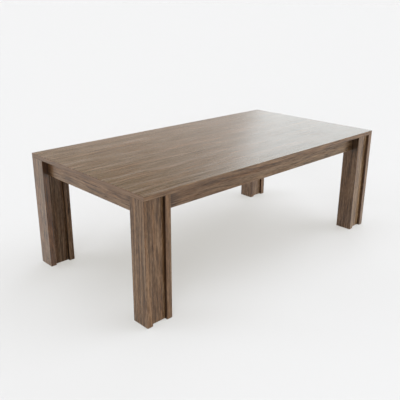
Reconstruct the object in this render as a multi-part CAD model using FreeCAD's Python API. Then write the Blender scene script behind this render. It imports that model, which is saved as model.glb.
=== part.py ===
import FreeCAD, Part
import math
import os

from FreeCAD import Placement, Rotation, Vector

os.makedirs("parts", exist_ok=True)

# Dining table, millimetres.  X is the length, Y the width, Z up.
# The origin is on the floor, under the middle of the top.
# The front long side is -Y, the left end is -X.

# ------------------------------------------------------------------ driving dimensions
TOP_LENGTH = 2180.0
TOP_WIDTH = 1134.0
TABLE_HEIGHT = 760.0
TOP_THICKNESS = 28.0
VENEER = 1.0                 # face veneer, and the backing veneer underneath
LIPPING = 8.0                # solid edge lipping around the core panel
TOP_CORNER_R = 1.5           # plan corners of the top
TOP_ARRIS_R = 0.8            # eased upper and lower edge of the top

LEG_X = 176.0                # leg along the length
LEG_Y = 120.0                # leg along the width
LEG_BOARD = 38.0             # outer and inner board of a leg
LEG_WEB_Y = 82.0             # web board between them, centred: grooves 19 deep
LEG_ARRIS_R = 1.5
GLIDE_H = 3.0
GLIDE_D = 24.0

APRON_H = 102.0
APRON_T = 22.0
APRON_SETBACK_LONG = 52.0    # long edge of the top to the apron's face
APRON_SETBACK_END = 38.0     # end of the top to the apron's face
APRON_ARRIS_R = 1.5

RAIL_T = 30.0
RAIL_H = 60.0
RAIL_X = 305.0               # cross rails at +-RAIL_X

DOWEL_D = 10.0
DOWEL_LEN = 38.0
RAIL_DOWEL_D = 8.0
RAIL_DOWEL_LEN = 31.0
FIT = 0.1                    # clearance on radius around dowels, screws and bolts

PLATE_T = 3.0                # steel corner plate
PLATE_H = 62.0
PLATE_TAB = 45.0
SEAT_CUT = 14.0              # leg of the chamfer on the leg's hidden inner corner
PLATE_GAP = 10.0             # leg corner to plate, as a sum of the two set-offs

CLIP_T = 2.0                 # tabletop clip, steel strip
CLIP_W = 20.0
CLIP_TONGUE = 9.0
CLIP_X = (-740.0, -520.0, 0.0, 520.0, 740.0)
CLIP_Y = (-180.0, 0.0, 180.0)

# ------------------------------------------------------------------ derived levels
HL = TOP_LENGTH / 2.0
HW = TOP_WIDTH / 2.0
Z_UNDER = TABLE_HEIGHT - TOP_THICKNESS          # underside of the top
Z_APRON = Z_UNDER - APRON_H
LEG_GROOVE = (LEG_Y - LEG_WEB_Y) / 2.0
LEG_WEB_X = LEG_X - 2.0 * LEG_BOARD
LONG_IN = HW - APRON_SETBACK_LONG - APRON_T     # |y| of a long apron's inner face
END_IN = HL - APRON_SETBACK_END - APRON_T       # |x| of an end apron's inner face
APRON_DOWEL_Z = (Z_APRON + 25.0, Z_UNDER - 28.0)
LEG_DOWEL_Z = (80.0, 230.0, 380.0, 530.0, 680.0)
PLATE_Z0 = Z_APRON + 20.0
PLATE_BOLT_Z = (PLATE_Z0 + 14.0, PLATE_Z0 + PLATE_H - 14.0)
KERF_TOP = Z_UNDER - 12.0
AX, AY, AZ = Vector(1, 0, 0), Vector(0, 1, 0), Vector(0, 0, 1)


# ------------------------------------------------------------------ helpers
def box(x0, x1, y0, y1, z0, z1):
    return Part.makeBox(x1 - x0, y1 - y0, z1 - z0, Vector(x0, y0, z0))


def cyl(radius, length, base, axis):
    return Part.makeCylinder(radius, length, base, axis)


def prism(points, z0, z1):
    """Polygon in plan, extruded from z0 to z1."""
    ring = [Vector(x, y, z0) for x, y in points]
    return Part.Face(Part.makePolygon(ring + ring[:1])).extrude(Vector(0, 0, z1 - z0))


def edges_where(shape, test):
    picked = []
    for edge in shape.Edges:
        a, b = edge.Vertexes[0].Point, edge.Vertexes[-1].Point
        if test((a + b) * 0.5, (b - a)):
            picked.append(edge)
    return picked


def ease(shape, radius, test):
    return shape.makeFillet(radius, edges_where(shape, test))


def along(vec, axis):
    return vec.Length > 1e-6 and abs(vec.normalize().dot(axis)) > 0.999


def mx(shape):
    return shape.mirror(Vector(0, 0, 0), AX)


def my(shape):
    return shape.mirror(Vector(0, 0, 0), AY)


def turned(shape, base, axis):
    """Shape modelled along +Z from the origin, laid along axis from base."""
    out = shape.copy()
    out.Placement = Placement(base, Rotation(AZ, axis))
    return out


def revolve(points):
    """Closed profile (r, z) turned about Z."""
    ring = [Vector(r, 0, z) for r, z in points]
    face = Part.Face(Part.makePolygon(ring + ring[:1]))
    return face.revolve(Vector(0, 0, 0), AZ, 360)


def dowel(diameter, length):
    r, h, c = diameter / 2.0, length / 2.0, 1.0
    return revolve([(0, -h), (r - c, -h), (r, -h + c), (r, h - c), (r - c, h), (0, h)])


def screw(shank_d, length, head_d, head_h):
    """Pan-head screw: the head's bearing face is at z = 0, the shank points up."""
    r, hr, tip = shank_d / 2.0, head_d / 2.0, shank_d * 0.9
    body = revolve([(0, -head_h), (hr * 0.55, -head_h), (hr * 0.86, -head_h * 0.82),
                    (hr, -head_h * 0.45), (hr, 0), (r, 0), (r, length - tip),
                    (0.35, length), (0, length)])
    w, a = head_d * 0.11, head_d * 0.27
    depth = head_h * 0.55
    cross = box(-a, a, -w, w, -head_h, -head_h + depth).fuse(
        box(-w, w, -a, a, -head_h, -head_h + depth))
    return body.cut(cross)


def group(solids):
    return Part.makeCompound(solids)


def save(node, shape):
    for solid in shape.Solids:
        if not solid.isValid():
            raise ValueError("bad solid in " + node)
    shape.exportStep("parts/" + node + ".step")


def four(shape):
    """Front-left corner's piece, and its mirrored copies at the other corners."""
    return {"front_left": shape, "front_right": mx(shape),
            "rear_left": my(shape), "rear_right": mx(my(shape))}


# ------------------------------------------------------------------ fasteners, one of each
apron_dowel = dowel(DOWEL_D, DOWEL_LEN)
rail_dowel = dowel(RAIL_DOWEL_D, RAIL_DOWEL_LEN)
clip_screw = screw(3.6, 16.0, 8.0, 2.6)
plate_screw = screw(3.6, 16.0, 8.0, 2.6)
rail_screw = screw(4.6, 45.0, 9.6, 3.2)


def dowel_hole(diameter, depth, base, axis):
    return cyl(diameter / 2.0 + FIT, depth, base, axis)


# ------------------------------------------------------------------ leg, front-left corner
X0, Y0 = -HL, -HW
Z_LEG = GLIDE_H


def leg_board(x0, x1):
    board = box(x0, x1, Y0, Y0 + LEG_Y, Z_LEG, Z_UNDER)
    board = ease(board, LEG_ARRIS_R, lambda m, d: along(d, AZ) or m.z < Z_LEG + 0.01)
    return board


outer_board = leg_board(X0, X0 + LEG_BOARD)
inner_board = leg_board(X0 + LEG_X - LEG_BOARD, X0 + LEG_X)
web_board = box(X0 + LEG_BOARD, X0 + LEG_X - LEG_BOARD,
                Y0 + LEG_GROOVE, Y0 + LEG_Y - LEG_GROOVE, Z_LEG, Z_UNDER)
web_board = ease(web_board, LEG_ARRIS_R, lambda m, d: along(d, AX) and m.z < Z_LEG + 0.01)

web_mid_y = Y0 + LEG_Y / 2.0
joint_out = X0 + LEG_BOARD
joint_in = X0 + LEG_X - LEG_BOARD
half_hole = DOWEL_LEN / 2.0 + 0.5
leg_dowels, outer_holes, inner_holes, web_holes = [], [], [], []
for z in LEG_DOWEL_Z:
    for joint_x, board_holes in ((joint_out, outer_holes), (joint_in, inner_holes)):
        centre = Vector(joint_x, web_mid_y, z)
        leg_dowels.append(turned(apron_dowel, centre, AX))
        hole = dowel_hole(DOWEL_D, 2.0 * half_hole, centre - AX * half_hole, AX)
        board_holes.append(hole)
        web_holes.append(hole)

# seat for the corner plate's bolts: a chamfer on the inner board's hidden corner
corner_x, corner_y = X0 + LEG_X, Y0 + LEG_Y
seat = prism([(corner_x - SEAT_CUT, corner_y), (corner_x + 5, corner_y - SEAT_CUT - 5),
              (corner_x + 5, corner_y + 5), (corner_x - SEAT_CUT - 5, corner_y + 5)],
             PLATE_Z0 - 10.0, Z_UNDER + 1.0)
bolt_dir = Vector(1, 1, 0).normalize()
seat_mid = Vector(corner_x - SEAT_CUT / 2.0, corner_y - SEAT_CUT / 2.0, 0)
BOLT_R = 4.0
BOLT_IN = 28.0
plate_s = (SEAT_CUT + PLATE_GAP) / math.sqrt(2.0)       # seat to plate along the bolt
WASHER_T, NUT_T, NUT_AF = 1.6, 6.5, 13.0
bolt_out = plate_s + PLATE_T + WASHER_T + NUT_T + 3.5

hanger_bolt = revolve([(0, -BOLT_IN), (0.8, -BOLT_IN), (3.3, -BOLT_IN + 6.0), (3.7, -2.0),
                       (3.7, 1.5), (BOLT_R, 1.5), (BOLT_R, bolt_out - 0.8),
                       (BOLT_R - 0.8, bolt_out), (0, bolt_out)])
washer = cyl(8.0, WASHER_T, Vector(0, 0, 0), AZ).cut(
    cyl(BOLT_R + 0.2, WASHER_T + 2, Vector(0, 0, -1), AZ))
hex_pts = [(NUT_AF / math.sqrt(3.0) * math.cos(math.radians(60 * i)),
            NUT_AF / math.sqrt(3.0) * math.sin(math.radians(60 * i))) for i in range(6)]
nut_cone = revolve([(0, 0), (NUT_AF / 2.0 * 0.97, 0), (NUT_AF / 2.0 * 1.16, 1.0),
                    (NUT_AF / 2.0 * 1.16, NUT_T - 1.0), (NUT_AF / 2.0 * 0.97, NUT_T), (0, NUT_T)])
hex_nut = prism(hex_pts, 0, NUT_T).common(nut_cone).cut(
    cyl(BOLT_R + FIT, NUT_T + 2, Vector(0, 0, -1), AZ))

bolts, washers, nuts, bolt_holes, plate_holes = [], [], [], [], []
for z in PLATE_BOLT_Z:
    base = Vector(seat_mid.x, seat_mid.y, z)
    bolts.append(turned(hanger_bolt, base, bolt_dir))
    washers.append(turned(washer, base + bolt_dir * (plate_s + PLATE_T), bolt_dir))
    nuts.append(turned(hex_nut, base + bolt_dir * (plate_s + PLATE_T + WASHER_T), bolt_dir))
    bolt_holes.append(cyl(BOLT_R + FIT, BOLT_IN + 21.0, base + bolt_dir * 20.0, bolt_dir * -1.0))
    plate_holes.append(cyl(BOLT_R + 0.5, 30.0, base + bolt_dir * (plate_s - 10.0), bolt_dir))

# apron ends: long apron into the inner board, end apron into the web
apron_dowels, long_end_holes, end_end_holes = [], [], []
for z in APRON_DOWEL_Z:
    c = Vector(X0 + LEG_X, -(LONG_IN + APRON_T / 2.0), z)
    apron_dowels.append(turned(apron_dowel, c, AX))
    hole = dowel_hole(DOWEL_D, 2.0 * half_hole, c - AX * half_hole, AX)
    inner_holes.append(hole)
    long_end_holes.append(hole)
    c = Vector(-(END_IN + APRON_T / 2.0), Y0 + LEG_Y - LEG_GROOVE, z)
    apron_dowels.append(turned(apron_dowel, c, AY))
    hole = dowel_hole(DOWEL_D, 2.0 * half_hole, c - AY * half_hole, AY)
    web_holes.append(hole)
    end_end_holes.append(hole)

# nailed glides under the outer and inner boards
glide = cyl(GLIDE_D / 2.0, GLIDE_H, Vector(0, 0, 0), AZ)
glide = glide.makeFillet(1.0, [e for e in glide.Edges
                               if e.BoundBox.ZMax < 0.01 and len(e.Vertexes) == 1])
glide = glide.cut(cyl(3.6, 1.6, Vector(0, 0, 0), AZ)).cut(
    cyl(1.4, GLIDE_H, Vector(0, 0, 0), AZ))
nail = revolve([(0, 0.4), (2.6, 0.4), (3.3, 0.9), (3.3, 1.6), (1.3, 1.6), (1.3, 18.0),
                (0.2, 20.5), (0, 20.5)])
glides, nails = [], []
for bx, holes in ((X0 + LEG_BOARD / 2.0, outer_holes),
                  (X0 + LEG_X - LEG_BOARD / 2.0, inner_holes)):
    for by in (Y0 + 24.0, Y0 + LEG_Y - 24.0):
        glides.append(glide.translated(Vector(bx, by, 0)))
        nails.append(nail.translated(Vector(bx, by, 0)))
        holes.append(cyl(1.4, 19.0, Vector(bx, by, Z_LEG - 1.0), AZ))

outer_board = outer_board.cut(outer_holes)
inner_board = inner_board.cut([seat] + inner_holes + bolt_holes)
web_board = web_board.cut(web_holes)

# ------------------------------------------------------------------ corner plate, front-left
leg_sum = LEG_X + LEG_Y + PLATE_GAP                 # u + v on the plate's leg side
ue, ve = APRON_SETBACK_END + APRON_T, APRON_SETBACK_LONG + APRON_T
diag = PLATE_T * math.sqrt(2.0)
outline = [(ue, leg_sum - ue + PLATE_TAB), (ue, leg_sum - ue), (leg_sum - ve, ve),
           (leg_sum - ve + PLATE_TAB, ve), (leg_sum - ve + PLATE_TAB, ve + PLATE_T),
           (leg_sum + diag - ve - PLATE_T, ve + PLATE_T),
           (ue + PLATE_T, leg_sum + diag - ue - PLATE_T),
           (ue + PLATE_T, leg_sum - ue + PLATE_TAB)]
plate = prism([(X0 + u, Y0 + v) for u, v in outline], PLATE_Z0, PLATE_Z0 + PLATE_H)
bend_out = [(ue, leg_sum - ue), (leg_sum - ve, ve)]
bend_in = [outline[5], outline[6]]
for pts, radius in ((bend_out, 5.0), (bend_in, 2.0)):
    plate = ease(plate, radius, lambda m, d, pts=pts: along(d, AZ) and any(
        abs(m.x - X0 - u) < 0.01 and abs(m.y - Y0 - v) < 0.01 for u, v in pts))
plate_screws, long_plate_pilots, end_plate_pilots = [], [], []
for z in (PLATE_Z0 + 14.0, PLATE_Z0 + PLATE_H - 14.0):
    for t in (16.0, 35.0):
        c = Vector(X0 + ue + PLATE_T, Y0 + leg_sum - ue + t, z)
        plate_screws.append(turned(plate_screw, c, AX * -1.0))
        end_plate_pilots.append(cyl(1.8 + FIT, 17.0, c, AX * -1.0))
        plate_holes.append(cyl(2.2, PLATE_T + 2.0, c + AX, AX * -1.0))
        c = Vector(X0 + leg_sum - ve + t, Y0 + ve + PLATE_T, z)
        plate_screws.append(turned(plate_screw, c, AY * -1.0))
        long_plate_pilots.append(cyl(1.8 + FIT, 17.0, c, AY * -1.0))
        plate_holes.append(cyl(2.2, PLATE_T + 2.0, c + AY, AY * -1.0))
plate = plate.cut(plate_holes)


def both_x(shapes):
    return list(shapes) + [mx(s) for s in shapes]


def both_y(shapes):
    return list(shapes) + [my(s) for s in shapes]


# ------------------------------------------------------------------ tabletop clips
def clip_profile(across):
    """Strip bent to a Z: tongue in the apron's slot, flange flat under the top.
    across is the way from the apron's inner face into the frame."""
    side = Vector(-across.y, across.x, 0)
    pts = [(-CLIP_TONGUE, KERF_TOP - CLIP_T), (3.5, KERF_TOP - CLIP_T), (3.5, Z_UNDER - CLIP_T),
           (24.0, Z_UNDER - CLIP_T), (24.0, Z_UNDER), (1.5, Z_UNDER), (1.5, KERF_TOP),
           (-CLIP_TONGUE, KERF_TOP)]
    ring = [across * a + AZ * z - side * (CLIP_W / 2.0) for a, z in pts]
    strip = Part.Face(Part.makePolygon(ring + ring[:1])).extrude(side * CLIP_W)
    return strip.cut(cyl(2.2, 6.0, across * 14.0 + AZ * (Z_UNDER - 4.0), AZ))


def kerf(across):
    side = Vector(-across.y, across.x, 0)
    pts = [(-CLIP_TONGUE - 1.0, KERF_TOP - CLIP_T - 0.6), (1.0, KERF_TOP - CLIP_T - 0.6),
           (1.0, KERF_TOP), (-CLIP_TONGUE - 1.0, KERF_TOP)]
    ring = [across * a + AZ * z - side * (CLIP_W / 2.0 + 8.0) for a, z in pts]
    return Part.Face(Part.makePolygon(ring + ring[:1])).extrude(side * (CLIP_W + 16.0))


clips_long, clips_end, clip_screws, top_pilots = [], [], [], []
long_kerfs, end_kerfs = [], []
for x in CLIP_X:
    at = Vector(x, -LONG_IN, 0)
    clips_long.append(clip_profile(AY).translated(at))
    long_kerfs.append(kerf(AY).translated(at))
    c = at + AY * 14.0 + AZ * (Z_UNDER - CLIP_T)
    clip_screws += both_y([clip_screw.translated(c)])
    top_pilots += both_y([cyl(1.8 + FIT, 17.0, c, AZ)])
for y in CLIP_Y:
    at = Vector(-END_IN, y, 0)
    clips_end.append(clip_profile(AX).translated(at))
    end_kerfs.append(kerf(AX).translated(at))
    c = at + AX * 14.0 + AZ * (Z_UNDER - CLIP_T)
    clip_screws += both_x([clip_screw.translated(c)])
    top_pilots += both_x([cyl(1.8 + FIT, 17.0, c, AZ)])

# ------------------------------------------------------------------ cross rails, left one
rail = box(-RAIL_X - RAIL_T / 2.0, -RAIL_X + RAIL_T / 2.0, -LONG_IN, LONG_IN,
           Z_UNDER - RAIL_H, Z_UNDER)
rail = ease(rail, 2.0, lambda m, d: along(d, AY) and m.z < Z_UNDER - RAIL_H + 0.01)
rail_dowels, rail_cuts, long_rail_holes, rail_screws = [], [], [], []
RAIL_IN_APRON = 12.0
for z in (Z_UNDER - RAIL_H + 16.0, Z_UNDER - 16.0):
    start = Vector(-RAIL_X, -LONG_IN - RAIL_IN_APRON, z)
    rail_dowels += both_y([turned(rail_dowel, start + AY * (RAIL_DOWEL_LEN / 2.0 + 0.5), AY)])
    hole = dowel_hole(RAIL_DOWEL_D, RAIL_DOWEL_LEN + 1.0, start, AY)
    long_rail_holes.append(hole)
    rail_cuts += both_y([hole])
HEAD_Z = Z_UNDER - 30.0
for y in (-300.0, 0.0, 300.0):
    c = Vector(-RAIL_X, y, HEAD_Z)
    rail_screws.append(rail_screw.translated(c))
    rail_cuts.append(cyl(5.6, RAIL_H, c, AZ * -1.0))
    rail_cuts.append(cyl(2.3 + 0.3, RAIL_H, c, AZ))
    top_pilots += both_x([cyl(2.3 + FIT, 46.0, c, AZ)])
rail = rail.cut(rail_cuts)

# ------------------------------------------------------------------ aprons
front_apron = box(-HL + LEG_X, HL - LEG_X, -LONG_IN - APRON_T, -LONG_IN, Z_APRON, Z_UNDER)
front_apron = ease(front_apron, APRON_ARRIS_R,
                   lambda m, d: along(d, AX) and m.z < Z_APRON + 0.01)
front_apron = front_apron.cut(both_x(long_end_holes) + both_x(long_plate_pilots)
                              + both_x(long_rail_holes) + long_kerfs)
end_half = HW - LEG_Y + LEG_GROOVE
left_apron = box(-END_IN - APRON_T, -END_IN, -end_half, end_half, Z_APRON, Z_UNDER)
left_apron = ease(left_apron, APRON_ARRIS_R,
                  lambda m, d: along(d, AY) and m.z < Z_APRON + 0.01)
left_apron = left_apron.cut(both_y(end_end_holes) + both_y(end_plate_pilots) + end_kerfs)

# ------------------------------------------------------------------ top
Z_CORE0, Z_CORE1 = Z_UNDER + VENEER, TABLE_HEIGHT - VENEER


def slab(z0, z1):
    plan = box(-HL, HL, -HW, HW, z0, z1)
    return ease(plan, TOP_CORNER_R, lambda m, d: along(d, AZ))


def rim(shape, z):
    """Edges of the slab's outline at level z, arcs at the corners included."""
    return [e for e in shape.Edges
            if abs(e.BoundBox.ZMin - z) < 0.01 and abs(e.BoundBox.ZMax - z) < 0.01]


face_veneer = slab(Z_CORE1, TABLE_HEIGHT)
face_veneer = face_veneer.makeFillet(TOP_ARRIS_R, rim(face_veneer, TABLE_HEIGHT))
backing = slab(Z_UNDER, Z_CORE0)
backing = backing.makeFillet(TOP_ARRIS_R, rim(backing, Z_UNDER)).cut(top_pilots)
core = box(-HL + LIPPING, HL - LIPPING, -HW + LIPPING, HW - LIPPING, Z_CORE0, Z_CORE1)
ring = slab(Z_CORE0, Z_CORE1).cut(core)
tip = HL - HW
front_zone = prism([(-HL - 9, -HW - 9), (HL + 9, -HW - 9), (tip, 0), (-tip, 0)], Z_CORE0, Z_CORE1)
left_zone = prism([(-HL - 9, -HW - 9), (-tip, 0), (-HL - 9, HW + 9)], Z_CORE0, Z_CORE1)
front_lipping = ring.common(front_zone)
left_lipping = ring.common(left_zone)
core = core.cut(top_pilots)

# ------------------------------------------------------------------ one file per node
save("top_face_veneer", face_veneer)
save("top_core_panel", core)
save("top_backing_veneer", backing)
save("front_edge_lipping", front_lipping)
save("rear_edge_lipping", my(front_lipping))
save("left_edge_lipping", left_lipping)
save("right_edge_lipping", mx(left_lipping))

save("front_apron", front_apron)
save("rear_apron", my(front_apron))
save("left_end_apron", left_apron)
save("right_end_apron", mx(left_apron))
save("left_cross_rail", rail)
save("right_cross_rail", mx(rail))

for where, shape in four(outer_board).items():
    save(where + "_leg_outer_board", shape)
for where, shape in four(web_board).items():
    save(where + "_leg_web_board", shape)
for where, shape in four(inner_board).items():
    save(where + "_leg_inner_board", shape)
for where, shape in four(group(leg_dowels)).items():
    save(where + "_leg_dowels", shape)
for where, shape in four(group(glides)).items():
    save(where + "_foot_glides", shape)
for where, shape in four(plate).items():
    save(where + "_corner_plate", shape)

save("glide_nails", group(both_y(both_x(nails))))
save("hanger_bolts", group(both_y(both_x(bolts))))
save("bolt_washers", group(both_y(both_x(washers))))
save("bolt_nuts", group(both_y(both_x(nuts))))
save("plate_screws", group(both_y(both_x(plate_screws))))
save("apron_dowels", group(both_y(both_x(apron_dowels))))
save("rail_dowels", group(both_x(rail_dowels)))
save("rail_screws", group(both_x(rail_screws)))
save("long_apron_clips", group(both_y(clips_long)))
save("end_apron_clips", group(both_x(clips_end)))
save("clip_screws", group(clip_screws))
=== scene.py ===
import math

import bpy
from mathutils import Matrix, Vector


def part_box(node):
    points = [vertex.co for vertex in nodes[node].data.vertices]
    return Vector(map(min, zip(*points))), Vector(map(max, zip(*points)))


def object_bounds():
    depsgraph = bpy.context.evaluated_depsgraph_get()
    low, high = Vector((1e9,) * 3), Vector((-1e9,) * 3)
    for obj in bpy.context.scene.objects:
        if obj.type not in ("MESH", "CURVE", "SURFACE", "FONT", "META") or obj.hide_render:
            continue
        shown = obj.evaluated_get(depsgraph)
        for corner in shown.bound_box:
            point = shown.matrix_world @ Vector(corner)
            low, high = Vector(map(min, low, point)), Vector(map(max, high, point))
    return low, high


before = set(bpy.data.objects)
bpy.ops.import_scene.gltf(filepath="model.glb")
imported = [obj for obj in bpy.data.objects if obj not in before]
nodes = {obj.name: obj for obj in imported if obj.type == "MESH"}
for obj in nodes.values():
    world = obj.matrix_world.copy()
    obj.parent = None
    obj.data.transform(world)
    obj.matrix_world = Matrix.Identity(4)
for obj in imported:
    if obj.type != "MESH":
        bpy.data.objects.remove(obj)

# Dining table in grey-brown walnut. Metres; +X along the table, +Y to the rear, +Z up.

cad_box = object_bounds()
scene = bpy.context.scene


# ---------------------------------------------------------------- node helpers

class Graph:
    """Short forms for building a node tree."""

    def __init__(self, tree):
        self.tree = tree

    def new(self, kind, **attrs):
        node = self.tree.nodes.new(kind)
        for key, value in attrs.items():
            setattr(node, key, value)
        return node

    def put(self, socket, value):
        if isinstance(value, bpy.types.NodeSocket):
            self.tree.links.new(value, socket)
        elif value is not None:
            socket.default_value = value

    def math(self, op, a, b=None, c=None, clamp=False):
        node = self.new("ShaderNodeMath", operation=op, use_clamp=clamp)
        for socket, value in zip(node.inputs, (a, b, c)):
            self.put(socket, value)
        return node.outputs[0]

    def add(self, *terms):
        total = terms[0]
        for term in terms[1:]:
            total = self.math("ADD", total, term)
        return total

    def mul(self, a, b):
        return self.math("MULTIPLY", a, b)

    def vec(self, op, a, b=None):
        node = self.new("ShaderNodeVectorMath", operation=op)
        self.put(node.inputs[0], a)
        self.put(node.inputs[1], b)
        return node.outputs["Value"] if op in ("LENGTH", "DOT_PRODUCT", "DISTANCE") else node.outputs["Vector"]

    def split(self, v):
        node = self.new("ShaderNodeSeparateXYZ")
        self.put(node.inputs[0], v)
        return node.outputs[0], node.outputs[1], node.outputs[2]

    def join(self, x, y, z):
        node = self.new("ShaderNodeCombineXYZ")
        for socket, value in zip(node.inputs, (x, y, z)):
            self.put(socket, value)
        return node.outputs[0]

    def noise(self, v, detail=2.0, rough=0.5, distort=0.0):
        node = self.new("ShaderNodeTexNoise", noise_dimensions="3D")
        self.put(node.inputs["Vector"], v)
        self.put(node.inputs["Scale"], 1.0)
        self.put(node.inputs["Detail"], detail)
        self.put(node.inputs["Roughness"], rough)
        self.put(node.inputs["Distortion"], distort)
        return node.outputs[0]

    def cells(self, v):
        node = self.new("ShaderNodeTexVoronoi", voronoi_dimensions="3D", feature="F1")
        self.put(node.inputs["Vector"], v)
        self.put(node.inputs["Scale"], 1.0)
        return node.outputs["Distance"], node.outputs["Color"]

    def ease(self, x, lo, hi, a=0.0, b=1.0):
        node = self.new("ShaderNodeMapRange", interpolation_type="SMOOTHSTEP")
        for name, value in (("Value", x), ("From Min", lo), ("From Max", hi), ("To Min", a), ("To Max", b)):
            self.put(node.inputs[name], value)
        return node.outputs[0]

    def mix(self, fac, a, b, blend="MIX"):
        node = self.new("ShaderNodeMix", data_type="RGBA", blend_type=blend)
        by_id = {s.identifier: s for s in node.inputs}
        self.put(by_id["Factor_Float"], fac)
        for name, value in (("A_Color", a), ("B_Color", b)):
            if isinstance(value, tuple) and len(value) == 3:
                value = (*value, 1.0)
            self.put(by_id[name], value)
        return next(s for s in node.outputs if s.identifier == "Result_Color")

    def ramp(self, fac, stops):
        node = self.new("ShaderNodeValToRGB")
        self.put(node.inputs[0], fac)
        band = node.color_ramp
        while len(band.elements) > 1:
            band.elements.remove(band.elements[-1])
        band.elements[0].position = stops[0][0]
        band.elements[0].color = (*stops[0][1], 1.0)
        for pos, colour in stops[1:]:
            element = band.elements.new(pos)
            element.color = (*colour, 1.0)
        return node.outputs[0]


def new_group(name, inputs, outputs):
    tree = bpy.data.node_groups.new(name, "ShaderNodeTree")
    for label, kind, default in inputs:
        socket = tree.interface.new_socket(label, in_out="INPUT", socket_type=kind)
        socket.default_value = default
    for label, kind in outputs:
        tree.interface.new_socket(label, in_out="OUTPUT", socket_type=kind)
    g = Graph(tree)
    inp = g.new("NodeGroupInput")
    out = g.new("NodeGroupOutput")
    return g, inp.outputs, out.inputs


FLOAT, VECTOR, COLOR = "NodeSocketFloat", "NodeSocketVector", "NodeSocketColor"


# ---------------------------------------------------------------- wood

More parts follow.
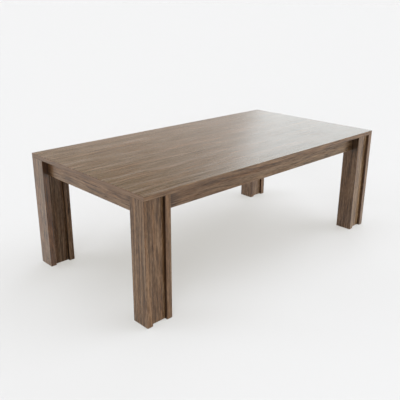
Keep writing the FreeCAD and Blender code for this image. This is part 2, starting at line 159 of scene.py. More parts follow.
def wood_group(name, axis, stops, warm, grey, pore_dark, runs=(0.6, 1.4, 4.0, 10.0), hues=(0.8, 34.0, 2.4, 95.0)):
    """Grain running along one axis: growth rings round a pith line, long streaks, fibre, pores and eased, rubbed edges.

    Offset moves the pattern so that no two boards match; Centre and Half are the board's box, for its edges.
    runs is how often the streaks change along the grain, per metre, from the wide ones to the narrow ones; Shorten
    multiplies it for one board, and Dashes sets the strength of the short flecks between the streaks.
    hues is the same for the warm streaks: along and across for the wide ones, then for the narrow ones."""
    g, i, o = new_group(
        name,
        [("Offset", VECTOR, (0, 0, 0)), ("Pith", VECTOR, (0, 0.2, 0.3)), ("Lean", VECTOR, (0, 0.03, 0.02)),
         ("Centre", VECTOR, (0, 0, 0)), ("Half", VECTOR, (1, 1, 1)),
         ("Leaf", FLOAT, 0.0), ("Tone", VECTOR, (1, 1, 1)), ("Warmth", FLOAT, 0.5), ("Figure", FLOAT, 0.5),
         ("Contrast", FLOAT, 1.0), ("Bands", FLOAT, 1.0), ("Streaks", FLOAT, 1.0), ("Wear", FLOAT, 0.5), ("Gloss", FLOAT, 0.3),
         ("Shorten", FLOAT, 1.0), ("Dashes", FLOAT, 0.0)],
        [("Color", COLOR), ("Roughness", FLOAT), ("Height", FLOAT)])
    place = g.new("ShaderNodeTexCoord").outputs["Object"]
    x, y, z = g.split(place)
    along, across, depth = {"X": (x, y, z), "Y": (y, x, z), "Z": (z, x, y)}[axis]
    ox, oy, oz = g.split(i["Offset"])

    # Leaves of veneer: each strip of this width takes its figure from another place, every second one turned over.
    leaf_on = g.math("GREATER_THAN", i["Leaf"], 0.001)
    width = g.math("MAXIMUM", i["Leaf"], 0.001)
    turn = g.math("DIVIDE", across, width)
    index = g.math("FLOOR", turn)
    in_leaf = g.math("PINGPONG", turn, 1.0)
    strip = g.mul(g.mul(index, leaf_on), 1.0)
    leaf_across = g.add(g.mul(in_leaf, width), g.mul(g.math("FLOOR", g.math("DIVIDE", index, 2.0)), 0.61))
    across_l = g.add(g.mul(across, g.math("SUBTRACT", 1.0, leaf_on)), g.mul(leaf_across, leaf_on))
    leaf_tone = g.math("SINE", g.mul(strip, 12.9898))

    p = g.join(g.add(along, ox), g.add(across_l, oy), g.add(depth, oz))

    # Slow bends of the grain.
    wide = g.noise(g.vec("MULTIPLY", p, (0.55, 2.2, 2.2)), 2.0, 0.5)
    short = g.noise(g.vec("MULTIPLY", p, (1.9, 9.0, 9.0)), 2.0, 0.5)
    bend = g.add(g.mul(g.math("SUBTRACT", wide, 0.5), 0.085), g.mul(g.math("SUBTRACT", short, 0.5), 0.016))
    px, py, pz = g.split(p)
    wy = g.add(py, bend)
    wz = g.add(pz, g.mul(bend, 0.7))
    w = g.join(px, wy, wz)

    # Growth rings round a leaning pith line, giving arched figure on some faces and straight grain on others.
    _, pa, pt = g.split(i["Pith"])
    _, la, lt = g.split(i["Lean"])
    ra = g.math("SUBTRACT", g.add(across_l, bend), g.add(pa, g.mul(along, la)))
    rt = g.math("SUBTRACT", g.add(depth, g.mul(bend, 0.7)), g.add(pt, g.mul(along, lt)))
    radius = g.math("SQRT", g.add(g.mul(ra, ra), g.mul(rt, rt)))
    pace = g.noise(g.vec("MULTIPLY", w, (0.35, 5.0, 5.0)), 1.0, 0.5)
    ring = g.add(g.mul(radius, 82.0), g.mul(pace, 5.0))
    saw = g.math("FRACT", ring)
    late = g.mul(g.ease(saw, 0.35, 0.93), g.math("SUBTRACT", 1.0, g.ease(saw, 0.93, 1.0)))

    # Streaks, from hand-wide bands of heartwood down to single fibres, with thin dark lines and flecks among them.
    v = g.join(g.mul(px, i["Shorten"]), wy, wz)
    s1 = g.noise(g.vec("MULTIPLY", v, (runs[0], 12.0, 12.0)), 2.0, 0.5)
    s2 = g.noise(g.vec("MULTIPLY", v, (runs[1], 46.0, 46.0)), 3.0, 0.55)
    s3 = g.noise(g.vec("MULTIPLY", v, (runs[2], 125.0, 125.0)), 2.0, 0.55)
    s4 = g.noise(g.vec("MULTIPLY", v, (runs[3], 300.0, 300.0)), 2.0, 0.55)
    fibre = g.noise(g.vec("MULTIPLY", w, (30.0, 800.0, 800.0)), 2.0, 0.6)
    line = g.ease(g.noise(g.vec("MULTIPLY", g.vec("ADD", v, (5.7, 2.3, 9.4)), (3.2, 150.0, 150.0)), 1.0, 0.5), 0.57, 0.70)
    dash = g.noise(g.vec("MULTIPLY", w, (32.0, 235.0, 235.0)), 1.0, 0.5)

    value = g.add(
        g.mul(g.mul(g.math("SUBTRACT", s1, 0.5), 0.75), i["Bands"]),
        g.mul(g.mul(g.math("SUBTRACT", s2, 0.5), 0.80), i["Streaks"]),
        g.mul(g.math("SUBTRACT", s3, 0.5), 1.55),
        g.mul(g.math("SUBTRACT", s4, 0.5), 0.95),
        g.mul(g.math("SUBTRACT", fibre, 0.5), 0.45),
        g.mul(line, -0.32),
        g.mul(g.math("SUBTRACT", dash, 0.5), i["Dashes"]),
        g.mul(g.mul(g.math("SUBTRACT", 0.35, late), i["Figure"]), 0.42),
        g.mul(leaf_tone, 0.035))
    value = g.math("ADD", g.mul(value, i["Contrast"]), 0.52, clamp=True)
    colour = g.ramp(value, stops)

    # Hue: tan and reddish streaks beside greyer ones.
    hue = g.noise(g.vec("MULTIPLY", g.vec("ADD", w, (7.3, 1.9, 4.1)), (hues[0], hues[1], hues[1])), 2.0, 0.55)
    hue2 = g.noise(g.vec("MULTIPLY", g.vec("ADD", w, (3.1, 8.2, 0.7)), (0.6, 19.0, 19.0)), 2.0, 0.5)
    hue3 = g.noise(g.vec("MULTIPLY", g.vec("ADD", w, (1.4, 6.5, 2.8)), (hues[2], hues[3], hues[3])), 1.0, 0.5)
    colour = g.mix(g.mul(g.ease(hue, 0.47, 0.68), i["Warmth"]), colour, warm, "MULTIPLY")
    colour = g.mix(g.mul(g.ease(hue3, 0.52, 0.66), i["Warmth"]), colour, warm, "MULTIPLY")
    colour = g.mix(g.mul(g.ease(hue2, 0.50, 0.70), 0.55), colour, grey, "MULTIPLY")

    # Pores: thin dark dashes, thicker in the early wood of each ring.
    dist, cell = g.cells(g.vec("MULTIPLY", w, (46.0, 620.0, 620.0)))
    keep = g.ease(g.split(cell)[0], 0.35, 0.60)
    pore = g.mul(g.mul(g.math("SUBTRACT", 1.0, g.ease(dist, 0.10, 0.42)), keep),
                 g.math("SUBTRACT", 1.0, g.mul(late, 0.6)))
    colour = g.mix(g.mul(pore, 0.62), colour, pore_dark, "MULTIPLY")

    # Rubbed arrises: a little paler and smoother close to the edges of the board, unevenly.
    from_edge = g.vec("SUBTRACT", i["Half"], g.vec("ABSOLUTE", g.vec("SUBTRACT", place, i["Centre"])))
    ex, ey, ez = g.split(from_edge)
    nearest = g.math("MAXIMUM", g.math("MINIMUM", ex, ey), g.math("MINIMUM", g.math("MAXIMUM", ex, ey), ez))
    patch = g.noise(g.vec("MULTIPLY", place, (23.0, 23.0, 23.0)), 3.0, 0.6)
    reach = g.add(0.0012, g.mul(g.ease(patch, 0.40, 0.72), 0.0040))
    rub = g.mul(g.mul(g.math("SUBTRACT", 1.0, g.ease(nearest, 0.0, reach)), i["Wear"]), g.ease(patch, 0.25, 0.60, 0.45, 1.0))
    colour = g.mix(g.mul(rub, 0.50), colour, (1.30, 1.27, 1.22), "MULTIPLY")
    colour = g.vec("MULTIPLY", colour, i["Tone"])

    # Handling marks in the finish.
    smear = g.noise(g.vec("MULTIPLY", place, (5.0, 5.0, 5.0)), 3.0, 0.55)
    rough = g.add(i["Gloss"], g.mul(g.math("SUBTRACT", s3, 0.5), 0.14), g.mul(g.math("SUBTRACT", smear, 0.5), 0.12),
                  g.mul(pore, 0.16), g.mul(rub, -0.06))
    height = g.add(g.mul(fibre, 0.35), g.mul(s4, 0.30), g.mul(late, 0.12), g.mul(pore, -0.85))
    g.put(o["Color"], colour)
    g.put(o["Roughness"], rough)
    g.put(o["Height"], height)
    return g.tree


WALNUT = [(0.00, (0.034, 0.014, 0.005)), (0.22, (0.078, 0.037, 0.013)), (0.42, (0.126, 0.066, 0.029)),
          (0.58, (0.166, 0.093, 0.046)), (0.78, (0.222, 0.132, 0.074)), (1.00, (0.310, 0.200, 0.125))]
WALNUT_TOP = [(0.00, (0.050, 0.017, 0.002)), (0.22, (0.084, 0.037, 0.004)), (0.42, (0.127, 0.068, 0.023)),
              (0.58, (0.163, 0.097, 0.053)), (0.78, (0.201, 0.129, 0.086)), (1.00, (0.250, 0.168, 0.124))]
WALNUT_WARM = (1.09, 0.95, 0.76)
WALNUT_GREY = (0.95, 1.00, 0.98)
WALNUT_PORE = (0.34, 0.30, 0.27)
BEECH = [(0.00, (0.25, 0.150, 0.085)), (0.30, (0.36, 0.230, 0.140)), (0.60, (0.45, 0.305, 0.190)), (1.00, (0.56, 0.41, 0.27))]

walnut = {a: wood_group("walnut_" + a.lower(), a, WALNUT, WALNUT_WARM, WALNUT_GREY, WALNUT_PORE) for a in "XYZ"}
walnut_top = wood_group("walnut_top_x", "X", WALNUT_TOP, WALNUT_WARM, WALNUT_GREY, WALNUT_PORE, runs=(1.7, 2.8, 6.0, 12.0),
                        hues=(1.6, 20.0, 3.2, 62.0))
beech = {a: wood_group("beech_" + a.lower(), a, BEECH, (1.10, 0.97, 0.86), (0.95, 0.96, 0.97), (0.62, 0.54, 0.46)) for a in "XYZ"}


def recess_group():
    """Painted shade: darkening in the corners where an apron meets a leg, and in a strip just under the top, standing
    in for the shade that falls there.
    """
    leg, end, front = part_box("front_right_leg_inner_board"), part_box("right_end_apron"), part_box("front_apron")
    g, i, o = new_group("recess", [], [("Corner", FLOAT), ("Under", FLOAT)])
    x, y, z = g.split(g.new("ShaderNodeTexCoord").outputs["Object"])
    ax, ay = g.math("ABSOLUTE", x), g.math("ABSOLUTE", y)

    def line(cx, cy, near, reach):
        dx, dy = g.math("SUBTRACT", ax, cx), g.math("SUBTRACT", ay, cy)
        return g.ease(g.math("SQRT", g.add(g.mul(dx, dx), g.mul(dy, dy))), near, reach, 1.0, 0.0)

    # Painted shade in the corners, fading away from the leg.
    corner = g.math("MAXIMUM", line(leg[0].x, -front[0].y, 0.020, 0.130), line(end[1].x, -leg[1].y, 0.010, 0.085))
    inside = g.mul(g.ease(ax, cad_box[1].x - 0.0025, cad_box[1].x - 0.0007, 1.0, 0.0),
                   g.ease(ay, cad_box[1].y - 0.0025, cad_box[1].y - 0.0007, 1.0, 0.0))
    g.put(o["Corner"], g.mul(g.mul(corner, inside), g.ease(z, front[0].z - 0.030, front[0].z + 0.010)))
    # Painted shade in a strip just under the top.
    g.put(o["Under"], g.ease(z, front[1].z - 0.016, front[1].z - 0.001, 0.0, 0.35))
    return g.tree


recess = recess_group()
# Colour that multiplies the wood where the painted shade falls.
RECESS_SHADE = (0.42, 0.38, 0.34)


def new_material(name):
    m = bpy.data.materials.new(name)
    m.use_nodes = True
    m.node_tree.nodes.clear()
    g = Graph(m.node_tree)
    shader = g.new("ShaderNodeBsdfPrincipled")
    out = g.new("ShaderNodeOutputMaterial")
    m.node_tree.links.new(shader.outputs[0], out.inputs["Surface"])
    return m, g, shader


def wood_material(name, group, box, offset, pith=(0, 0.2, 0.3), lean=(0, 0.03, 0.02), leaf=0.0, tone=1.0, warmth=0.5,
                  figure=0.5, contrast=1.0, bands=0.6, streaks=0.7, wear=0.6, rough=0.30, specular=0.5, coat=0.0, bump=0.25,
                  shorten=1.0, dashes=0.0, sides=(), corners=0, painted_lift=None, painted_light_drift=None):
    """One board's wood. sides holds (axis, sign, colour, reach): the face on that side is multiplied by that colour,
    darker or lighter, to a depth of reach. shorten and dashes set the length of the streaks and the strength of the
    flecks.
    corners is 1 for painted shade in the corners where aprons meet legs, 2 for the painted shade under the top as well.
    painted_lift is (axis, reach, colour): painted light, paler towards both ends of the board on that axis.
    painted_light_drift is (axis, colour, colour): painted light and shade, the tone changes slowly along that axis."""
    m, g, shader = new_material(name)
    lo, hi = box
    if not isinstance(tone, tuple):
        tone = (tone, tone, tone)
    node = g.new("ShaderNodeGroup", node_tree=group)
    for label, value in (("Offset", offset), ("Pith", pith), ("Lean", lean), ("Centre", (lo + hi) / 2), ("Half", (hi - lo) / 2),
                         ("Leaf", leaf), ("Tone", tone), ("Warmth", warmth), ("Figure", figure), ("Contrast", contrast),
                         ("Bands", bands), ("Streaks", streaks), ("Wear", wear), ("Gloss", rough), ("Shorten", shorten), ("Dashes", dashes)):
        node.inputs[label].default_value = value
    colour, dull, height = node.outputs["Color"], node.outputs["Roughness"], node.outputs["Height"]
    # Each listed face is multiplied by its colour close to that face. Below, this gives painted shade in the grooves
    # and painted light and shade on some leg faces.
    for axis, sign, side_tone, reach in sides:
        k = "XYZ".index(axis)
        place = g.split(g.new("ShaderNodeTexCoord").outputs["Object"])[k]
        face = hi[k] if sign > 0 else lo[k]
        inside = g.mul(g.math("SUBTRACT", face, place), float(sign))
        colour = g.mix(g.ease(inside, reach * 0.3, reach, 1.0, 0.0), colour, side_tone, "MULTIPLY")
    # Painted light: paler towards both ends of the board, against the shade cast by the groove walls.
    if painted_lift:
        axis, reach, pale = painted_lift
        k = "XYZ".index(axis)
        place = g.split(g.new("ShaderNodeTexCoord").outputs["Object"])[k]
        off = g.math("ABSOLUTE", g.math("SUBTRACT", place, (lo[k] + hi[k]) / 2))
        colour = g.mix(g.ease(off, (hi[k] - lo[k]) / 2 - reach, (hi[k] - lo[k]) / 2), colour, pale, "MULTIPLY")
    # Painted light and shade: the tone changes slowly along the board, as the light falls off.
    if painted_light_drift:
        axis, first, last = painted_light_drift
        k = "XYZ".index(axis)
        place = g.split(g.new("ShaderNodeTexCoord").outputs["Object"])[k]
        part_way = g.math("DIVIDE", g.math("SUBTRACT", place, lo[k]), hi[k] - lo[k], clamp=True)
        colour = g.mix(1.0, colour, g.mix(part_way, first, last), "MULTIPLY")
    # Painted shade in the corners where aprons meet legs, and under the top when corners is 2.
    if corners:
        dim = g.new("ShaderNodeGroup", node_tree=recess).outputs
        painted_shade_amount = g.math("MAXIMUM", dim["Corner"], dim["Under"]) if corners > 1 else dim["Corner"]
        colour = g.mix(painted_shade_amount, colour, RECESS_SHADE, "MULTIPLY")
    g.put(shader.inputs["Base Color"], colour)
    g.put(shader.inputs["Roughness"], dull)
    b = g.new("ShaderNodeBump")
    b.inputs["Strength"].default_value = bump
    b.inputs["Distance"].default_value = 0.0004
    g.put(b.inputs["Height"], height)
    g.put(shader.inputs["Normal"], b.outputs[0])
    shader.inputs["Specular IOR Level"].default_value = specular
    shader.inputs["Coat Weight"].default_value = coat
    shader.inputs["Coat Roughness"].default_value = 0.2
    return m


# ---------------------------------------------------------------- other materials

def zinc_material(name, base, rough_mid, grain_axis):
    """Zinc-plated steel: faint spangle, drawing marks and dull spots."""
    m, g, shader = new_material(name)
    place = g.new("ShaderNodeTexCoord").outputs["Object"]
    spangle = g.noise(g.vec("MULTIPLY", place, (140.0, 140.0, 140.0)), 3.0, 0.6)
    stretch = {"X": (25.0, 900.0, 900.0), "Y": (900.0, 25.0, 900.0), "Z": (900.0, 900.0, 25.0)}[grain_axis]
    drawn = g.noise(g.vec("MULTIPLY", place, stretch), 2.0, 0.55)
    spot = g.ease(g.noise(g.vec("MULTIPLY", place, (60.0, 60.0, 60.0)), 4.0, 0.65), 0.52, 0.70)
    tone = g.add(g.mul(g.math("SUBTRACT", spangle, 0.5), 0.9), g.mul(g.math("SUBTRACT", drawn, 0.5), 0.5), 0.5)
    colour = g.ramp(tone, [(0.0, tuple(c * 0.62 for c in base)), (0.5, base), (1.0, tuple(min(1.0, c * 1.25) for c in base))])
    colour = g.mix(g.mul(spot, 0.45), colour, (0.78, 0.74, 0.66), "MULTIPLY")
    g.put(shader.inputs["Base Color"], colour)
    g.put(shader.inputs["Roughness"], g.add(rough_mid, g.mul(g.math("SUBTRACT", drawn, 0.5), 0.22), g.mul(spot, 0.18)))
    shader.inputs["Metallic"].default_value = 1.0
    b = g.new("ShaderNodeBump")
    b.inputs["Strength"].default_value = 0.25
    b.inputs["Distance"].default_value = 0.0002
    g.put(b.inputs["Height"], g.add(g.mul(drawn, 0.6), g.mul(spangle, 0.4)))
    g.put(shader.inputs["Normal"], b.outputs[0])
    return m


def nylon_material(name):
    """Moulded brown nylon, scuffed where it slides on the floor."""
    m, g, shader = new_material(name)
    place = g.new("ShaderNodeTexCoord").outputs["Object"]
    fine = g.noise(g.vec("MULTIPLY", place, (1400.0, 1400.0, 1400.0)), 2.0, 0.5)
    cloud = g.noise(g.vec("MULTIPLY", place, (90.0, 90.0, 90.0)), 3.0, 0.55)
    z = g.split(place)[2]
    scuff = g.mul(g.math("SUBTRACT", 1.0, g.ease(z, 0.0002, 0.0016)), g.ease(cloud, 0.40, 0.65))
    colour = g.ramp(g.add(g.mul(g.math("SUBTRACT", cloud, 0.5), 0.9), g.mul(g.math("SUBTRACT", fine, 0.5), 0.4), 0.5),
                    [(0.0, (0.012, 0.008, 0.006)), (0.5, (0.026, 0.018, 0.013)), (1.0, (0.048, 0.035, 0.027))])
    colour = g.mix(g.mul(scuff, 0.6), colour, (0.16, 0.14, 0.12))
    g.put(shader.inputs["Base Color"], colour)
    g.put(shader.inputs["Roughness"], g.add(0.48, g.mul(g.math("SUBTRACT", fine, 0.5), 0.2), g.mul(scuff, 0.2)))
    b = g.new("ShaderNodeBump")
    b.inputs["Strength"].default_value = 0.3
    b.inputs["Distance"].default_value = 0.0001
    g.put(b.inputs["Height"], fine)
    g.put(shader.inputs["Normal"], b.outputs[0])
    return m


def board_material(name):
    """Pressed wood board: small chips of several browns with a close, dusty surface."""
    m, g, shader = new_material(name)
    place = g.new("ShaderNodeTexCoord").outputs["Object"]
    dist, cell = g.cells(g.vec("MULTIPLY", place, (190.0, 330.0, 520.0)))
    chip = g.split(cell)[0]
    dust = g.noise(g.vec("MULTIPLY", place, (900.0, 900.0, 900.0)), 3.0, 0.6)
    tone = g.add(g.mul(chip, 0.6), g.mul(dust, 0.4))
    colour = g.ramp(tone, [(0.0, (0.17, 0.105, 0.055)), (0.4, (0.31, 0.205, 0.115)), (0.7, (0.42, 0.295, 0.175)), (1.0, (0.55, 0.41, 0.26))])
    g.put(shader.inputs["Base Color"], colour)
    g.put(shader.inputs["Roughness"], g.add(0.74, g.mul(dust, 0.2)))
    b = g.new("ShaderNodeBump")
    b.inputs["Strength"].default_value = 0.4
    b.inputs["Distance"].default_value = 0.0004
    g.put(b.inputs["Height"], g.add(g.mul(dist, 0.6), g.mul(dust, 0.4)))
    g.put(shader.inputs["Normal"], b.outputs[0])
    return m


# ---------------------------------------------------------------- finishes, piece by piece

def finish(name, material):
    ob = nodes[name]
    if not ob.material_slots:
        ob.data.materials.append(material)
    for slot in ob.material_slots:
        slot.material = material


# Painted light: the top's tone grows lighter from front to rear.
finish("top_face_veneer", wood_material(
    "walnut_top", walnut_top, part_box("top_face_veneer"), (3.7, 11.2, 5.3), pith=(0, 0.05, 0.40), lean=(0, 0.02, 0.01),
    leaf=0.0, tone=(1.53, 1.64, 1.54), warmth=0.70, figure=0.5, contrast=0.58, bands=1.3, streaks=1.9, wear=0.4, rough=0.25, coat=0.8, bump=0.10,
    painted_light_drift=("Y", (0.94, 0.97, 1.09), (1.18, 1.15, 1.16))))
finish("top_backing_veneer", wood_material(
    "walnut_backing", walnut["X"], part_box("top_backing_veneer"), (9.1, 2.4, 8.8), pith=(0, 0.1, 0.42), leaf=0.227,
    tone=1.05, warmth=0.3, figure=0.4, contrast=0.9, wear=0.2, rough=0.5))
finish("top_core_panel", board_material("pressed_board"))

edges = (("front_edge_lipping", "X", (1.3, 6.6, 2.2)), ("rear_edge_lipping", "X", (5.9, 3.3, 7.4)),
         ("left_edge_lipping", "Y", (8.2, 1.7, 4.6)), ("right_edge_lipping", "Y", (2.8, 9.5, 6.1)))
# Painted light: the long lippings grow lighter towards the right end, and the end lippings take a lighter, greyer tone
# than the long ones. The end lippings are also darker close to the top.
for name, axis, offset in edges:
    finish(name, wood_material("walnut_" + name, walnut[axis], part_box(name), offset, pith=(0, 0.45, 0.55),
                               tone=(1.36, 1.34, 1.25) if axis == "X" else (1.52, 1.51, 1.52), warmth=0.55 if axis == "X" else 0.30, figure=0.3,
                               contrast=0.80 if axis == "X" else 0.50, wear=0.8, coat=0.25, dashes=0.5,
                               sides=[] if axis == "X" else [("Z", 1, (0.62, 0.58, 0.56), 0.0048)],
                               painted_light_drift=("X", (0.91, 0.91, 0.90), (1.11, 1.12, 1.10)) if axis == "X" else None))

aprons = (("front_apron", "X", (4.4, 0.8, 3.9)), ("rear_apron", "X", (7.7, 5.2, 1.1)),
          ("left_end_apron", "Y", (0.6, 7.9, 9.3)), ("right_end_apron", "Y", (6.3, 2.6, 0.4)))
# Painted light and shade: the long aprons grow lighter towards the right end, the end aprons grow darker towards the
# top under the overhang, and the end aprons take a lighter tone than the long ones. corners adds the painted shade in
# the corners and under the top.
for name, axis, offset in aprons:
    finish(name, wood_material("walnut_" + name, walnut[axis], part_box(name), offset, pith=(0, 0.8, 0.95),
                               tone=(1.31, 1.32, 1.31) if axis == "X" else (1.53, 1.57, 1.60), warmth=0.6, figure=0.4,
                               contrast=0.75 if axis == "X" else 0.85, streaks=1.1 if axis == "X" else 0.7, shorten=2.2 if axis == "X" else 1.3,
                               dashes=0.6, wear=0.5, corners=2 if axis == "X" else 1,
                               coat=0.0 if axis == "X" else 0.15, painted_light_drift=("X", (0.96, 0.94, 0.93), (1.24, 1.37, 1.44)) if axis == "X" else ("Z", (1.05, 1.05, 1.04), (0.83, 0.85, 0.87))))

# Painted shade: the faces of the outer and inner boards that face into the grooves are darkened, standing in for the
# shade deep in the grooves.
GROOVE_SHADE = (0.42, 0.37, 0.33)
# Darker painted shade in the groove of the front left leg.
DEEPER_GROOVE_SHADE = {"front_left_leg_inner_board": (0.31, 0.25, 0.19)}
# Boards sawn from different trees are a little lighter or darker. These tones also hold painted light and shade: the
# right legs' boards and the rear left outer board are made lighter, most of all the webs of the right legs inside their
# grooves, and the rear left leg's web is made darker, under the table.
BOARD_TONE_AND_LIGHT = {"rear_left_leg_outer_board": 1.40, "rear_left_leg_web_board": 0.98, "rear_left_leg_inner_board": 1.02,
              "front_right_leg_web_board": (1.82, 1.98, 2.03), "front_right_leg_inner_board": 1.18, "front_right_leg_outer_board": 1.45,
              "rear_right_leg_web_board": (1.83, 1.92, 2.08), "rear_right_leg_inner_board": 1.38, "rear_right_leg_outer_board": 1.40}
# Gloss of a board: specular level and thickness of the clear coat.
BOARD_GLOSS = {"rear_left_leg_outer_board": (0.65, 0.30), "rear_left_leg_web_board": (0.28, 0.0),
               "rear_left_leg_inner_board": (0.28, 0.0), "front_right_leg_web_board": (0.55, 0.35),
               "front_right_leg_inner_board": (0.50, 0.30), "front_right_leg_outer_board": (0.55, 0.30),
               "rear_right_leg_web_board": (0.55, 0.20), "rear_right_leg_inner_board": (0.55, 0.20)}
# Painted light and shade on the front (-Y) faces of some leg boards: darker on the rear left outer board, lighter on
# the right legs' inner boards.
BOARD_SIDE_LIGHT = {"rear_left_leg_outer_board": [("Y", -1, (0.74, 0.60, 0.44), 0.0014)],
               "front_right_leg_inner_board": [("Y", -1, (1.24, 1.31, 1.30), 0.0014)],
               "rear_right_leg_inner_board": [("Y", -1, (1.10, 1.10, 1.10), 0.0014)]}
BOARD_CONTRAST = {"front_left_leg_outer_board": 1.28, "front_left_leg_web_board": 1.0, "front_left_leg_inner_board": 0.8,
                  "rear_left_leg_outer_board": 0.90, "rear_left_leg_web_board": 0.98}
BOARD_SHORTEN = {"front_left_leg_outer_board": 0.5, "front_left_leg_web_board": 1.5, "rear_left_leg_outer_board": 2.0,
                 "rear_left_leg_web_board": 0.8, "front_right_leg_inner_board": 0.65}
# Painted light on the web boards: paler towards the groove walls, against the shade there, and stronger on the front
# right leg.
BOARD_PAINTED_LIFT = {"front_right_leg_web_board": (0.036, (1.36, 1.56, 1.80))}
k = 0
for end, sx in (("left", -1), ("right", 1)):
    for side, sy in (("front", -1), ("rear", 1)):
        leg = side + "_" + end
        for part in ("outer", "web", "inner"):
            name = "%s_leg_%s_board" % (leg, part)
            lo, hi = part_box(name)
            k += 1
            shift = (0.37 * k + 2.1, (1.83 * k) % 7.0, (2.69 * k + 0.5) % 9.0)
            cx, cy = (lo.x + hi.x) / 2, (lo.y + hi.y) / 2
            if part == "web":
                pith = (0, cx + 0.012 * sx, cy - sy * 0.11)
                sides = []
            else:
                pith = (0, cx + 0.16 * sx, cy + 0.05 * sy)
                toward = -sx if part == "outer" else sx
                sides = [("X", toward, DEEPER_GROOVE_SHADE.get(name, GROOVE_SHADE), 0.0014)]
            level, coat = BOARD_GLOSS.get(name, (0.5, 0.0))
            reach, pale = BOARD_PAINTED_LIFT.get(name, (0.020, (1.22, 1.34, 1.48)))
            finish(name, wood_material("walnut_" + name, walnut["Z"], (lo, hi), shift, pith=pith, lean=(0, 0.012, -0.022),
                                       tone=BOARD_TONE_AND_LIGHT.get(name, (1.25, 1.25, 1.21)), warmth=0.6, figure=0.35,
                                       contrast=BOARD_CONTRAST.get(name, 1.12), bands=0.3, streaks=0.42,
                                       shorten=BOARD_SHORTEN.get(name, 1.0), dashes=0.85,
                                       wear=0.7, specular=level, coat=coat, painted_lift=("X", reach, pale) if part == "web" else None,
                                       sides=sides + BOARD_SIDE_LIGHT.get(name, []), corners=0 if part == "web" else 1))

for end in ("left", "right"):
    name = end + "_cross_rail"
    finish(name, wood_material("beech_" + name, beech["Y"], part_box(name), (3.0 if end == "left" else 6.0, 2.0, 5.0),
                               pith=(0, 0.6, 0.9), figure=0.3, contrast=0.8, wear=0.3, rough=0.5))

for name in nodes:
    if name.endswith("leg_dowels") or name == "rail_dowels":
        finish(name, wood_material("beech_" + name, beech["X" if "leg" in name else "Y"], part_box(name), (1.0, 4.0, 2.0),
                                   figure=0.2, contrast=0.7, wear=0.0, rough=0.6))
    elif name == "apron_dowels":
        finish(name, wood_material("beech_" + name, beech["X"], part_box(name), (4.0, 1.0, 7.0), figure=0.2, contrast=0.7,
                                   wear=0.0, rough=0.6))

plate_zinc = zinc_material("zinc_plate", (0.56, 0.56, 0.55), 0.36, "Z")
screw_zinc = zinc_material("zinc_screw", (0.60, 0.585, 0.54), 0.30, "X")
nylon = nylon_material("nylon_brown")
for name in nodes:
    if name.endswith("corner_plate") or name.endswith("clips"):
        finish(name, plate_zinc)
    elif name.endswith("foot_glides"):
        finish(name, nylon)
    elif name in ("glide_nails", "hanger_bolts", "bolt_washers", "bolt_nuts", "plate_screws", "rail_screws", "clip_screws"):
        finish(name, screw_zinc)


# ---------------------------------------------------------------- floor

def plane(name, half, z):
    mesh = bpy.data.meshes.new(name)
    mesh.from_pydata([(-half, -half, z), (half, -half, z), (half, half, z), (-half, half, z)], [], [(0, 1, 2, 3)])
    ob = bpy.data.objects.new(name, mesh)
    scene.collection.objects.link(ob)
    return ob


floor = plane("floor", 400.0, 0.0)
m = bpy.data.materials.new("floor_pale")
m.use_nodes = True
m.node_tree.nodes.clear()
g = Graph(m.node_tree)
matte = g.new("ShaderNodeBsdfDiffuse")
matte.inputs["Color"].default_value = (0.400, 0.415, 0.452, 1.0)
lit = g.new("ShaderNodeEmission")
lit.inputs["Color"].default_value = (1.0, 0.966, 0.884, 1.0)
lit.inputs["Strength"].default_value = 0.49
both = g.new("ShaderNodeAddShader")
m.node_tree.links.new(matte.outputs[0], both.inputs[0])
m.node_tree.links.new(lit.outputs[0], both.inputs[1])
bounce = g.new("ShaderNodeBsdfDiffuse")
bounce.inputs["Color"].default_value = (0.66, 0.66, 0.66, 1.0)
mirrored = g.new("ShaderNodeMixShader")
path = g.new("ShaderNodeLightPath").outputs
m.node_tree.links.new(path["Is Glossy Ray"], mirrored.inputs[0])
m.node_tree.links.new(bounce.outputs[0], mirrored.inputs[1])
m.node_tree.links.new(both.outputs[0], mirrored.inputs[2])
# Seen directly, the floor also takes the floor lights below.
pale = g.new("ShaderNodeBsdfDiffuse")
pale.inputs["Color"].default_value = (0.160, 0.166, 0.181, 1.0)
veil = g.new("ShaderNodeEmission")
veil.inputs["Color"].default_value = (1.0, 0.966, 0.884, 1.0)
veil.inputs["Strength"].default_value = 0.461
direct = g.new("ShaderNodeAddShader")
m.node_tree.links.new(pale.outputs[0], direct.inputs[0])
m.node_tree.links.new(veil.outputs[0], direct.inputs[1])
top_side = g.new("ShaderNodeMixShader")
m.node_tree.links.new(path["Is Camera Ray"], top_side.inputs[0])
m.node_tree.links.new(mirrored.outputs[0], top_side.inputs[1])
m.node_tree.links.new(direct.outputs[0], top_side.inputs[2])
clear = g.new("ShaderNodeBsdfTransparent")
one_way = g.new("ShaderNodeMixShader")
m.node_tree.links.new(g.new("ShaderNodeNewGeometry").outputs["Backfacing"], one_way.inputs[0])
m.node_tree.links.new(top_side.outputs[0], one_way.inputs[1])
m.node_tree.links.new(clear.outputs[0], one_way.inputs[2])
m.node_tree.links.new(one_way.outputs[0], g.new("ShaderNodeOutputMaterial").inputs["Surface"])
floor.data.materials.append(m)


# ---------------------------------------------------------------- light

world = bpy.data.worlds.new("studio")
scene.world = world
world.use_nodes = True
world.node_tree.nodes.clear()
g = Graph(world.node_tree)
ray = g.new("ShaderNodeTexCoord").outputs["Generated"]
up = g.split(ray)[2]
ahead = g.vec("DOT_PRODUCT", ray, (0.693, 0.721, 0.0))
right = g.vec("DOT_PRODUCT", ray, (0.598, -0.769, 0.224))
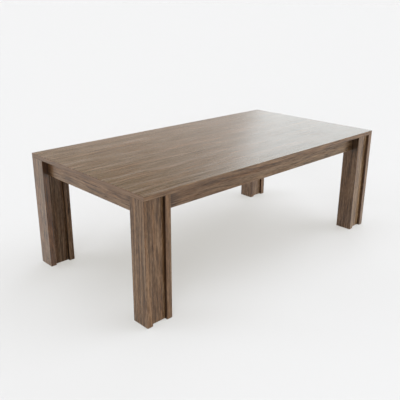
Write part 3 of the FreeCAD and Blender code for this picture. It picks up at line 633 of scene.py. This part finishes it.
# The far side of the room: brighter close to the floor, darker higher up, and even near the window.
low_part = g.ease(right, -0.34, -0.16, 0.45, 0.60)
high_part = g.ease(right, -0.34, -0.14, 0.25, 0.15)
far_low = g.mix(g.ease(up, 0.20, 0.28), g.join(low_part, low_part, low_part), g.join(high_part, high_part, high_part))
far_low = g.split(g.mix(g.ease(right, -0.13, 0.0), far_low, (0.53, 0.53, 0.53)))[0]
far = g.mul(g.ease(ahead, 0.10, 0.60), g.math("SUBTRACT", 1.0, g.ease(up, 0.28, 0.48)))
level = g.mul(far_low, far)
# Broad soft glows: degrees round from +X, degrees up, strength.
for turn, rise, strength in ((120, 8, 0.39), (150, 8, 0.51), (180, 8, 0.45), (210, 8, 0.75), (270, 8, 0.16), (300, 8, 0.51),
                             (120, 30, 0.10), (150, 30, 0.18), (180, 30, 0.06), (300, 30, 0.98), (330, 30, 0.07),
                             (0, 62, 1.01), (45, 62, 0.60), (90, 62, 0.08), (135, 62, 0.21), (180, 62, 0.22),
                             (270, 62, 0.09), (315, 62, 0.70), (0, 90, 0.70)):
    t, e = math.radians(turn), math.radians(rise)
    toward = g.vec("DOT_PRODUCT", ray, (math.cos(t) * math.cos(e), math.sin(t) * math.cos(e), math.sin(e)))
    level = g.add(level, g.ease(toward, 0.80, 0.985, 0.0, strength))
window = g.mul(g.mul(g.ease(right, -0.012, 0.012), g.ease(ahead, 0.30, 0.60)),
               g.mul(g.ease(up, 0.02, 0.08), g.math("SUBTRACT", 1.0, g.ease(up, 0.40, 0.52))))
window = g.mul(window, 0.745)
path = g.new("ShaderNodeLightPath").outputs
seen = path["Is Camera Ray"]
unseen = g.math("SUBTRACT", 1.0, seen)
# The far side close to the horizon, and the other sides higher up, mirror more dimly, so that the top keeps its colour
# when seen from low down, from the ends and from behind.
dim = g.math("MAXIMUM", g.mul(g.ease(ahead, 0.30, 0.60), g.ease(up, 0.02, 0.13, 0.80, 0.0)),
             g.mul(g.ease(ahead, 0.70, 0.86, 0.70, 0.0), g.ease(up, 0.02, 0.10)))
unseen = g.mul(unseen, g.math("SUBTRACT", 1.0, g.mul(path["Is Glossy Ray"], dim)))
glow = g.join(*[g.add(g.mul(g.add(level, g.mul(window, tint)), unseen), g.mul(seen, 0.829)) for tint in (0.86, 0.99, 1.05)])
light = g.new("ShaderNodeBackground")
g.put(light.inputs["Color"], glow)
g.put(light.inputs["Strength"], 1.1)
world.node_tree.links.new(light.outputs[0], g.new("ShaderNodeOutputWorld").inputs["Surface"])


def panel(name, place, aim, width, height, watts):
    data = bpy.data.lights.new(name, "AREA")
    data.shape = "RECTANGLE"
    data.size, data.size_y = width, height
    data.energy = watts
    ob = bpy.data.objects.new(name, data)
    scene.collection.objects.link(ob)
    ob.location = place
    ob.rotation_mode = "QUATERNION"
    ob.rotation_quaternion = (Vector(aim) - Vector(place)).to_track_quat("-Z", "Y")
    ob.visible_camera = False
    ob.visible_glossy = False
    return ob


panel("softbox_right", (3.0, -2.9, 1.2), (0.6, -0.2, 0.45), 2.0, 1.6, 4.0)

# Wide soft lights that shape the shadow on the floor and reach nothing else: degrees round from +X, degrees up, degrees
# across, strength.
floor_only = bpy.data.collections.new("floor_only")
floor_only.objects.link(floor)
for turn, rise, spread, strength in ((138, 12, 40, 3.11), (106, 86, 50, 2.26), (31, 28, 30, 1.09), (332, 45, 36, 1.50),
                                     (220, 12, 34, 4.92)):
    t, e = math.radians(turn), math.radians(rise)
    toward = Vector((math.cos(t) * math.cos(e), math.sin(t) * math.cos(e), math.sin(e)))
    data = bpy.data.lights.new("floor_light_%d" % turn, "SUN")
    data.angle = math.radians(spread)
    data.energy = strength
    data.cycles.max_bounces = 0
    data.cycles.use_multiple_importance_sampling = False
    ob = bpy.data.objects.new(data.name, data)
    scene.collection.objects.link(ob)
    ob.location = toward * 6.0
    ob.rotation_mode = "QUATERNION"
    ob.rotation_quaternion = (-toward).to_track_quat("-Z", "Y")
    ob.light_linking.receiver_collection = floor_only

scene.view_settings.view_transform = "Standard"
scene.view_settings.look = "None"
scene.view_settings.exposure = 0.0
scene.view_settings.gamma = 1.0


# ---------------------------------------------------------------- camera

az, el, roll = math.radians(-44.0016), math.radians(19.9871), math.radians(0.3385)
back = Vector((math.sin(az) * math.cos(el), -math.cos(az) * math.cos(el), math.sin(el)))
r = (-back).cross(Vector((0, 0, 1))).normalized()
u = r.cross(-back)
cr, sr = math.cos(roll), math.sin(roll)
r, u = cr * r + sr * u, -sr * r + cr * u
cam = bpy.data.objects.new("camera", bpy.data.cameras.new("camera"))
scene.collection.objects.link(cam)
cam.data.sensor_width = 36.0
cam.data.lens = 548.015 / 400.0 * 36.0
cam.data.clip_end = 2000.0
cam.matrix_world = Matrix(((r.x, u.x, back.x, -2.6534), (r.y, u.y, back.y, -2.5851), (r.z, u.z, back.z, 1.6688), (0, 0, 0, 1)))
scene.camera = cam
